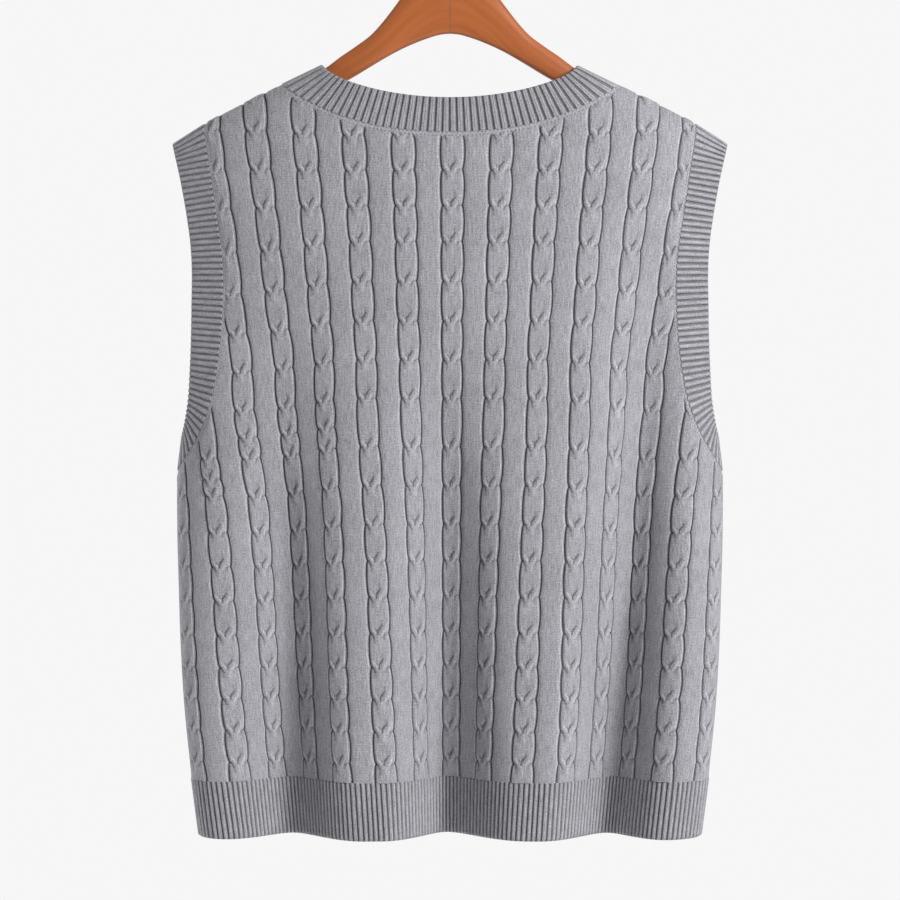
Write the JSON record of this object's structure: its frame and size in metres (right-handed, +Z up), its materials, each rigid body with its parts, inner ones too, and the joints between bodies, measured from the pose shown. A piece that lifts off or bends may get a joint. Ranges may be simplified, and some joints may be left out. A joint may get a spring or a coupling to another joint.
{
  "type": "knitted sweater vest on a wooden hanger",
  "caption": "Sleeveless cable-knit pullover with ribbed neckband, armhole bands and hem, hanging in soft folds on a contoured wooden hanger with a wire hook.",
  "frame": {"origin": "inner top of the hanger's hook, where a rail carries it", "axes": "+Z up, -Y towards the garment's back, +Y towards its front, +X to the wearer's right"},
  "size_m": [0.4724, 0.1312, 0.7966],
  "materials": {
    "heather_knit": "heather grey plied yarn in plain knit with raised cables, matt and slightly fuzzy",
    "heather_rib": "the same heather grey yarn in two-by-one rib, matt",
    "stained_wood": "reddish-brown stained wood under a satin varnish, fine grain along the arms",
    "polished_steel": "polished wire"
  },
  "bodies": {
    "root": {"back_panel": "heather_knit", "front_panel": "heather_knit", "neckband": "heather_rib", "armhole_band_left": "heather_rib", "armhole_band_right": "heather_rib", "hem_rib_back": "heather_rib", "hem_rib_front": "heather_rib", "hanger_arm_left": "stained_wood", "hanger_arm_right": "stained_wood", "hanger_hook": "polished_steel"}
  },
  "joints": []
}
